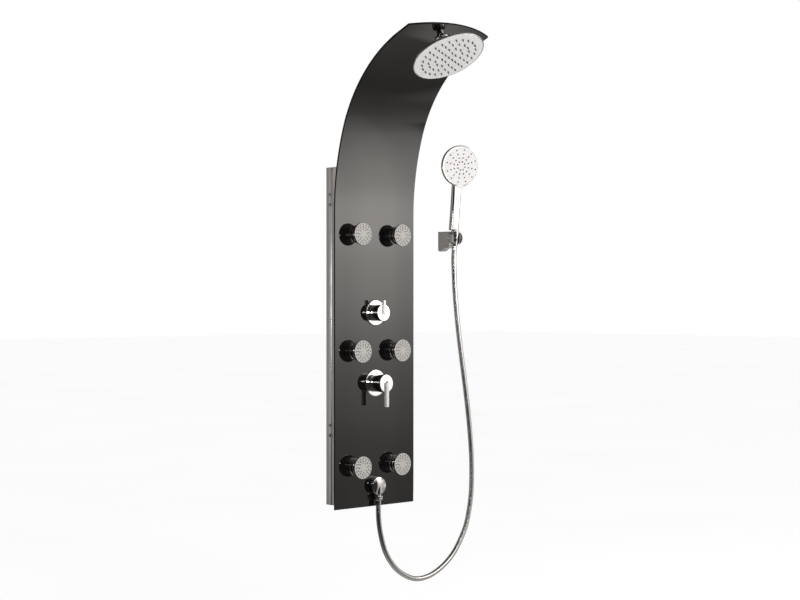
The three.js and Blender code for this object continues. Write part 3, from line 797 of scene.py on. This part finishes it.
for level in ("lower", "middle", "upper"):
    for side_name in ("left", "right"):
        key = f"{level}_{side_name}"
        place = joint_place(f"jet_nod_{key}")
        piece(f"jet_base_{key}_turned", lathe(base_outline, 96), place, chrome, "column", f"jet_base_{key}",
              sharp=40)
        piece(f"jet_head_{key}_shell", lathe(head_outline, 96), place, plated_plastic, f"jet_{key}",
              f"jet_head_{key}", sharp=40)
        piece(f"jet_face_{key}", lathe(face_outline, 96), place, jet_plastic, f"jet_{key}", ())
        piece(f"jet_marks_{key}", moved(marks, shift(0, 0, JET_FACE)), place, jet_mark, f"jet_{key}",
              ())
        piece(f"jet_nut_{key}_hex", lathe(nut_outline, 60, nut_hex), place, brass, "column",
              f"jet_nut_{key}")


# ---- Overhead shower -------------------------------------------------------------------------
RAIN_BALL = 33.0                         # the ball's centre from the glass, along the arm
RAIN_HANG = 7.5                          # how far the head hangs round from the arm's line
out_of_glass = Matrix.Rotation(math.pi / 2 + LEAN, 4, "X")
rain_pivot = Matrix.Translation(Vector(joints["rain_spin"]["pos_m"]) / MM)
tip_place = rain_pivot @ out_of_glass @ shift(0, 0, -RAIN_BALL)
head_place = rain_pivot @ out_of_glass @ spun("X", -RAIN_HANG) @ shift(0, 0, -RAIN_BALL)
arm_outline = [
    *soften([(0, -24), (8, -24, 0.4), (8, 0.3), (17.6, 0.3, 0.3), (19, 1.3, 0.8), (18.6, 3.2, 0.9),
             (14, 4.6, 0.6), (10.4, 5.6, 1.0), (10, 8, 1), (10, 18.6, 0.9), (8.6, 20.4, 0.8),
             (7, 22.2, 0.6)]),
    *ball_arc(12, RAIN_BALL, 36, 180, 20),
]
piece("rain_arm_turned", lathe(arm_outline, 96), tip_place, chrome, "column", "rain_arm")
elbow_outline = soften([
    (0, -40), (11, -40, 0.8), (12.6, -38.5, 0.8), (12.6, -20, 0.4), (13, -19.4, 0.3), (13, -6.8, 0.6),
    (12, -6.3, 0.3), (8.6, -6.3), (8.6, -25), (0, -25)])
piece("rain_inlet_elbow_hex", lathe(elbow_outline, 48), tip_place, brass, "column", "rain_inlet_elbow")
collar_outline = [
    *ball_arc(12.6, RAIN_BALL, 55, 90, 8), *soften([
        (12.6, 33), (12.6, 46.4, 0.3), (17, 46.4, 0.5), (17, 42.6, 0.4), (16.2, 42, 0.3), (16.2, 40.8, 0.3),
        (17, 40.2, 0.4), (17, 29, 0.8), (15.4, 25.9, 0.8), (10.5, 25.8)])[1:-1],
]
piece("rain_collar_turned", lathe(collar_outline, 96), head_place, chrome, "rain_collar", "rain_collar")
RAIN_FACE = 61.0                         # the spray plate's face from the glass
RAIN_PITCH, RAIN_PHASE = 18.9, -21.5     # the nozzle rings' spacing, and their turn about the head
shell_outline = soften([
    (0, 46.8), (21, 46.8, 0.8), (23, 48.2, 1.2), (26, 50.0, 3), (60, 51.6, 6), (92, 52.8, 4),
    (98.6, 54.0, 2.2), (100, 56.4, 1.4), (100, 59.8, 0.9), (99, 60.6, 0.5), (97.8, 60.2, 0.3),
    (97.4, 58.6, 0.2), (0, 58.6)])
shell = piece("rain_head_shell", lathe(shell_outline, 160), head_place, shell_metal, "rain_head", "rain_head")
plate_outline = soften([(0, 58.9), (97.0, 58.9, 0.2), (97.0, 60.2, 0.4), (96.2, 60.9, 0.5), (60, RAIN_FACE),
                        (0, RAIN_FACE)])
spray_plate = piece("rain_spray_plate_brushed", lathe(plate_outline, 160), head_place, brushed_plate,
                    "rain_head", "rain_spray_plate")
nipple = lathe(soften([
    (0, -0.6), (2.5, -0.6), (2.4, 0.4, 0.3), (2.0, 0.8, 0.3), (1.6, 6.0, 0.4), (0.8, 6.0, 0.2), (0.6, 4.6),
    (0, 4.6)], steps=3), 20)
nipples = [nipple] + [lump for ring in range(1, 5)
                      for lump in ring_of(nipple, 6 * ring, RAIN_PITCH * ring, RAIN_PHASE)]
rain_nozzles = piece("rain_nozzles", moved(merged(*nipples), shift(0, 0, RAIN_FACE)), head_place,
                     nozzle_rubber, "rain_head", ())
for part in (shell, spray_plate, rain_nozzles):
    part.visible_glossy = False


# ---- Hose outlet -----------------------------------------------------------------------------
outlet_place = facing(0, OUTLET_HEIGHT)
outlet_outline = soften(raised([(0, -23), (10, -23, 0.4), (10, 0.3), (24.2, 0.3, 0.3), (25, 1.2, 0.7),
                                (25, 17.0, 0.7), (24.2, 17.7, 0.4), (0, 23.5)]))
spigot_outline = soften([(0, -36.7), (7.6, -36.7, 0.3), (8, -36), (8, -24, 1.5), (9.6, -20, 1.5), (9.6, 0),
                         (0, 0)])
piece("hose_outlet_body", lathe(outlet_outline, 128), outlet_place, chrome, "column", "hose_outlet",
      sharp=20)
piece("hose_outlet_spigot", lathe(spigot_outline, 64),
      outlet_place @ shift(0, 0, SPIGOT_DEPTH) @ spun("X", -90), chrome, "column", ())


# ---- Wall bracket and holder -----------------------------------------------------------------
bracket_x = sum(corner.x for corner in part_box("wall_bracket")) / 2 / MM
HOLDER_DEPTH, HOLDER_RADIUS = 61.0, 18.0
HOLDER_HEIGHT = joints["holder_tilt"]["pos_m"][2] / MM + ORIGIN_HEIGHT


def bracket_outline(inset=0.0):
    """The bracket from the side: a block with a hollow saddle for the holder's bar."""
    reach = HOLDER_RADIUS + 0.3 + inset
    angles = [math.radians(-39 + 82 * k / 16) for k in range(17)]
    saddle = [(HOLDER_DEPTH - reach * math.cos(a), HOLDER_HEIGHT + reach * math.sin(a)) for a in angles]
    lower = [(inset, -33 + inset, 4), (3.5, -38 + inset, 4), (16, -37 + inset, 8), (27, -29 + inset, 8),
             (42 - inset, -28 + inset, 4), (43.5 - inset, -18, 1)]
    upper = [(46.2 - inset, 19.7 - inset, 1.5), (inset, 20 - inset, 1.5)]
    on_wall = [[(x, HOLDER_HEIGHT + y, r) for x, y, r in part] for part in (lower, upper)]
    return soften(on_wall[0] + saddle + on_wall[1], around=True, steps=4)


def bevelled_prism(outline, inner, half, bevel):
    """A prism across X with its two flat sides chamfered from outline to inner."""
    rows = ((inner, -half), (outline, -half + bevel), (outline, half - bevel), (inner, half))
    verts = [(x, -depth, height - ORIGIN_HEIGHT) for line, x in rows for depth, height in line]
    return verts, stacked_faces(len(outline), len(rows))


BRACKET_HALF, BRACKET_BEVEL = 10.5, 0.8
piece("wall_bracket_block", bevelled_prism(bracket_outline(), bracket_outline(BRACKET_BEVEL), BRACKET_HALF,
                                           BRACKET_BEVEL),
      shift(bracket_x, 0, 0), plated_plastic, "column", "wall_bracket", sharp=30)

BORE_FOOT = 9.5                          # the cone bore's radius just below the bar
BORE_SLOPE = 3.2 / 44.5                  # and its widening with height
clip_bar = lathe(soften([(0, -15), (10.5, -15, 1.5), (16.8, -12.2, 2.5), (18, -10.2, 1.2), (18, 13.6, 1.0),
                         (16.6, 15, 1.2), (0, 15)]), 96)
clip = piece("holder_clip_bar", moved(clip_bar, spun("Y", 90)), holder_place, clip_painted_shade_chrome, "holder",
             "holder_clip", sharp=30)
bore_outline = [(0, -22), (BORE_FOOT + BORE_SLOPE, -22), (BORE_FOOT + 45 * BORE_SLOPE, 22), (0, 22)]
carve(clip, lathe(bore_outline, 96), holder_place)
mouth = extrusion([(-7.8, -24), (7.8, -24), (7.8, 0), (-7.8, 0)], -22, 22)
carve(clip, mouth, holder_place, sharp=30)
# The clip is one chrome part: only faces turned to the left get the bright plating, and the dark copy on the
# rest is painted shade
clip.data.materials.append(plated_plastic)
for polygon in clip.data.polygons:
    if polygon.normal.x < -0.3:
        polygon.material_index = 1


# ---- Hand shower -----------------------------------------------------------------------------
PLATE_FACE = 10.3                        # the spray plate's front, before the handle's middle
HEAD_CENTRE = 210.0                      # from the holder's middle, along the handle
GRIP_OFFSET = shift(-4.5, 3, 0)          # the handle lies a little behind and beside the cone nut
HANDSET_TURN = -17                       # the spray plate looks a little to the left
handset_place = holder_place @ spun("Z", HANDSET_TURN)
disc_outline = soften([
    (0, -8), (40, -8, 3), (53, -7.2, 5), (58.6, -4.6, 3), (59.5, -1, 3), (59.5, 5.6, 1.2), (58.6, 7.2, 0.8),
    (56.4, 7.6, 0.5), (55.6, 6.4, 0.3), (0, 6.4)])
disc = moved(lathe(disc_outline, 160), shift(0, 0, HEAD_CENTRE) @ spun("X", 90))


def grip_shape():
    """The handle: a rounded bar that swells gently and runs into the head."""
    stations = ((22, 0.94, 0.92), (23, 0.99, 0.98), (26, 1, 1), (60, 0.97, 0.97), (100, 0.98, 0.96),
                (140, 1.0, 0.92), (152, 1.0, 0.84), (164, 0.98, 0.76))
    half_x, half_y, corner = 14.0, 10.0, 9.0
    outline = soften([(-half_x, -half_y, corner), (half_x, -half_y, corner), (half_x, half_y, corner),
                      (-half_x, half_y, corner)], around=True, steps=10)
    verts = []
    for z, wide, deep in stations:
        backwards = 0.0 if z < 140 else (1 - deep) * half_y * 0.6
        verts += [(x * wide, y * deep + backwards, z) for x, y in outline]
    return verts, stacked_faces(len(outline), len(stations))


neck = lathe(soften([(0, 10.3), (7, 10.3), (7, 22.5), (0, 22.5)]), 48)
handset_body = piece("handset_body_shell", merged(disc, moved(grip_shape(), GRIP_OFFSET), neck),
                     handset_place, plated_plastic, "handset", "handset_body", sharp=30)


def keyhole(radius, half_neck, foot, fillet):
    """Outline of the spray plate: a disc with a short neck running down to the handle."""
    meet = math.asin((half_neck + fillet) / (radius + fillet))
    points = []
    start = -math.pi / 2 + meet
    for k in range(97):
        angle = start + (TAU - 2 * meet) * k / 96
        points.append((radius * math.cos(angle), HEAD_CENTRE + radius * math.sin(angle)))
    centre_z = HEAD_CENTRE - (radius + fillet) * math.cos(meet)
    left = [(-(half_neck + fillet) + fillet * math.cos(a), centre_z + fillet * math.sin(a))
            for a in [math.pi / 2 - meet - (math.pi / 2 - meet) * k / 8 for k in range(1, 9)]]
    right = [(-x, z) for x, z in reversed(left)]
    end = [(-half_neck, foot + 1), (-half_neck + 1, foot), (half_neck - 1, foot), (half_neck, foot + 1)]
    return points + left + end + right


plate_rows = ((keyhole(53.2, 10.2, 145.6, 5), 8.2), (keyhole(54, 11, 144.9, 5), 8.9),
              (keyhole(54, 11, 144.9, 5), 9.5), (keyhole(53.1, 10.1, 145.8, 5), PLATE_FACE))
plate_verts = [(x, -depth, z) for line, depth in plate_rows for x, z in line]
plate_faces = stacked_faces(len(plate_rows[0][0]), len(plate_rows))
handset_plate = piece("handset_spray_plate_white", (plate_verts, plate_faces), handset_place, white_plastic,
                      "handset", "handset_spray_plate", sharp=30)
nozzle = lathe(soften([
    (0, -0.5), (2.2, -0.5), (2.1, 0.3, 0.3), (1.6, 1.1, 0.4), (0.8, 1.2, 0.2), (0.7, 0.7), (0, 0.7)],
    steps=3), 20)
face_place = handset_place @ shift(0, -PLATE_FACE, HEAD_CENTRE) @ spun("X", 90)
outer_nozzles = [lump for radius in (47, 35, 23.7) for lump in ring_of(nozzle, 12, radius, 21.5)]
nozzles_outer = piece("handset_nozzles_outer", merged(*outer_nozzles), face_place, nozzle_grey, "handset", ())
nozzles_inner = piece("handset_nozzles_inner", merged(*ring_of(nozzle, 8, 12.3, 32.5)), face_place,
                      dark_plastic, "handset", ())
for part in (handset_body, handset_plate, nozzles_outer, nozzles_inner):
    part.visible_glossy = False


# ---- Studio ----------------------------------------------------------------------------------
scene = bpy.context.scene
scene.view_settings.view_transform = "Standard"
world = bpy.data.worlds.new("studio")
world.use_nodes = True
world.node_tree.nodes["Background"].inputs["Color"].default_value = (1, 1, 1, 1)
world.node_tree.nodes["Background"].inputs["Strength"].default_value = 1.0
scene.world = world


def smooth_step(value, low, high):
    t = max(0.0, min(1.0, (value - low) / (high - low)))
    return t * t * (3 - 2 * t)


def along(value, stops):
    """A value read off a list of (position, level) stops."""
    if value <= stops[0][0]:
        return stops[0][1]
    for (x0, y0), (x1, y1) in zip(stops, stops[1:]):
        if value <= x1:
            return y0 + (y1 - y0) * (value - x0) / (x1 - x0)
    return stops[-1][1]


# How bright the studio is by height: the card in front on the right, the space in front, the
# right-hand side, and the space behind the wall's plane.
CARD = [(-1200, 0.42), (-400, 0.48), (-195, 0.56), (-101, 0.62), (43, 0.78), (195, 1.2), (332, 1.65),
        (419, 2.3), (573, 3.3), (730, 4.15), (820, 5.0), (1000, 5.6), (1200, 5.0), (1450, 1.7), (1700, 0.3)]
FRONT = [(200, 0.03), (400, 0.5), (550, 1.3), (800, 1.6), (1200, 1.8), (1450, 0.9), (1700, 0.06)]
RIGHT = [(-1200, 0.4), (-350, 0.34), (-286, 0.32), (-259, 0.48), (-211, 0.68), (-112, 0.95), (-45, 0.62),
         (60, 0.42), (300, 0.3), (1200, 0.3), (1700, 0.2)]
BEHIND = [(-1200, 0.4), (-300, 0.6), (-100, 1.0), (1200, 1.0), (1700, 0.3)]
DARK = 0.03                              # the space to the left, round to behind the camera
CARD_NARROWS = 250                       # the height above which the card is narrower


def studio_light(azimuth, height):
    """Brightness of the surroundings that polished surfaces see, by direction from the column."""
    card = along(height, CARD) * along(azimuth, [(-60, 0.98), (-54, 0.94), (-51, 1.06), (-48, 1.04),
                                                 (-46, 0.88), (-38, 0.78), (-30, 0.7)])
    right = along(height, RIGHT) * along(azimuth, [(-30, 0.85), (5, 0.9), (35, 0.8)])
    behind = along(height, BEHIND) * along(azimuth, [
        (49, 0.4), (58, 0.2), (100, 0.2), (115, 0.17), (122, 0.15), (127, 0.2), (131, 0.32), (137, 0.6),
        (143, 0.5), (152, 0.15), (170, 0.03)])
    front = along(height, FRONT)
    turn, end = (-43, -38) if height > CARD_NARROWS else (-38, -26)
    zones = ((-105, -92, DARK, front), (-64, -58, front, card), (turn, end, card, right),
             (35, 49, right, behind))
    level = DARK
    for low, high, before, after in zones:
        if azimuth >= low:
            level = before + (after - before) * smooth_step(azimuth, low, high)
    return level


def glossy_only(obj):
    """Seen only in reflections: it neither lights the object nor shows itself."""
    obj.visible_camera = obj.visible_diffuse = obj.visible_shadow = False
    obj.visible_transmission = obj.visible_volume_scatter = False


def glow(name, strength):
    material = bpy.data.materials.new(name)
    material.use_nodes = True
    tree = material.node_tree
    tree.nodes.clear()
    emission = tree.nodes.new("ShaderNodeEmission")
    output = tree.nodes.new("ShaderNodeOutputMaterial")
    tree.links.new(emission.outputs["Emission"], output.inputs["Surface"])
    emission.inputs["Strength"].default_value = strength
    return material, tree, emission


DOME_RADIUS, DOME_LOW, DOME_HIGH = 1650.0, -1250.0, 2800.0
END_LEVELS = (0.45, 0.15)                # brightness of the dome's flat bottom and top


def reflector_dome():
    rows, columns = 82, 240
    verts, levels = [], []
    for i in range(rows + 1):
        height = DOME_LOW + (DOME_HIGH - DOME_LOW) * i / rows
        for k in range(columns):
            azimuth = -180 + 360 * k / columns
            angle = math.radians(azimuth)
            verts.append((DOME_RADIUS * math.cos(angle) * MM, DOME_RADIUS * math.sin(angle) * MM,
                          (height - ORIGIN_HEIGHT) * MM))
            levels.append(studio_light(azimuth, height))
    faces = stacked_faces(columns, rows + 1)[:-2]
    for row, level in zip((0, rows), END_LEVELS):
        centre = len(verts)
        verts.append((0, 0, verts[row * columns][2]))
        levels.append(level)
        for k in range(columns):
            faces.append([row * columns + k, row * columns + (k + 1) % columns, centre])
    mesh = bpy.data.meshes.new("reflector_dome")
    mesh.from_pydata(verts, [], faces)
    layer = mesh.attributes.new("level", "FLOAT", "POINT")
    layer.data.foreach_set("value", levels)
    material, tree, emission = glow("reflector", 1.0)
    attribute = tree.nodes.new("ShaderNodeAttribute")
    attribute.attribute_name = "level"
    tree.links.new(attribute.outputs["Fac"], emission.inputs["Strength"])
    emission.inputs["Color"].default_value = (1.0, 0.955, 0.91, 1)
    mesh.materials.append(material)
    glossy_only(placed("reflector_dome", mesh))


def aimed(obj, location, target):
    obj.location = location
    obj.rotation_euler = (Vector(target) - Vector(location)).to_track_quat("-Z", "Y").to_euler()


def softbox(name, centre, target, width, height, strength):
    """A small bright panel that only reflections see."""
    verts = [(-width / 2, -height / 2, 0), (width / 2, -height / 2, 0), (width / 2, height / 2, 0),
             (-width / 2, height / 2, 0)]
    mesh = bpy.data.meshes.new(name)
    mesh.from_pydata(verts, [], [[0, 1, 2, 3]])
    mesh.materials.append(glow(name, strength)[0])
    obj = placed(name, mesh)
    aimed(obj, centre, target)
    glossy_only(obj)


reflector_dome()
softbox("camera_light", (-1.02, -1.16, -0.25), (0, 0, -0.25), 0.16, 0.24, 14)

FLOOR_Z = -1.45
floor_mesh = bpy.data.meshes.new("floor")
floor_mesh.from_pydata([(x, y, FLOOR_Z) for x, y in ((-40, -40), (40, -40), (40, 40), (-40, 40))], [],
                       [[0, 1, 2, 3]])
floor_nodes = Nodes("floor")
floor_nodes.set(Base_Color=floor_nodes.blend(floor_nodes.noise(0.8), grey(0.95), grey(0.97)),
                Roughness=floor_nodes.spread(floor_nodes.noise(3), 0.85, 0.95))
floor_mesh.materials.append(floor_nodes.material)
floor = placed("floor", floor_mesh)
floor.visible_glossy = False


def area_light(name, location, target, size, power):
    data = bpy.data.lights.new(name, "AREA")
    data.size, data.energy = size, power
    obj = placed(name, data)
    aimed(obj, location, target)
    obj.visible_glossy = False


area_light("key", (-1.4, -3.2, 1.6), (0.1, 0, -0.1), 1.6, 28)
area_light("fill", (2.6, -2.6, 0.4), (0.1, 0, -0.1), 1.8, 12)
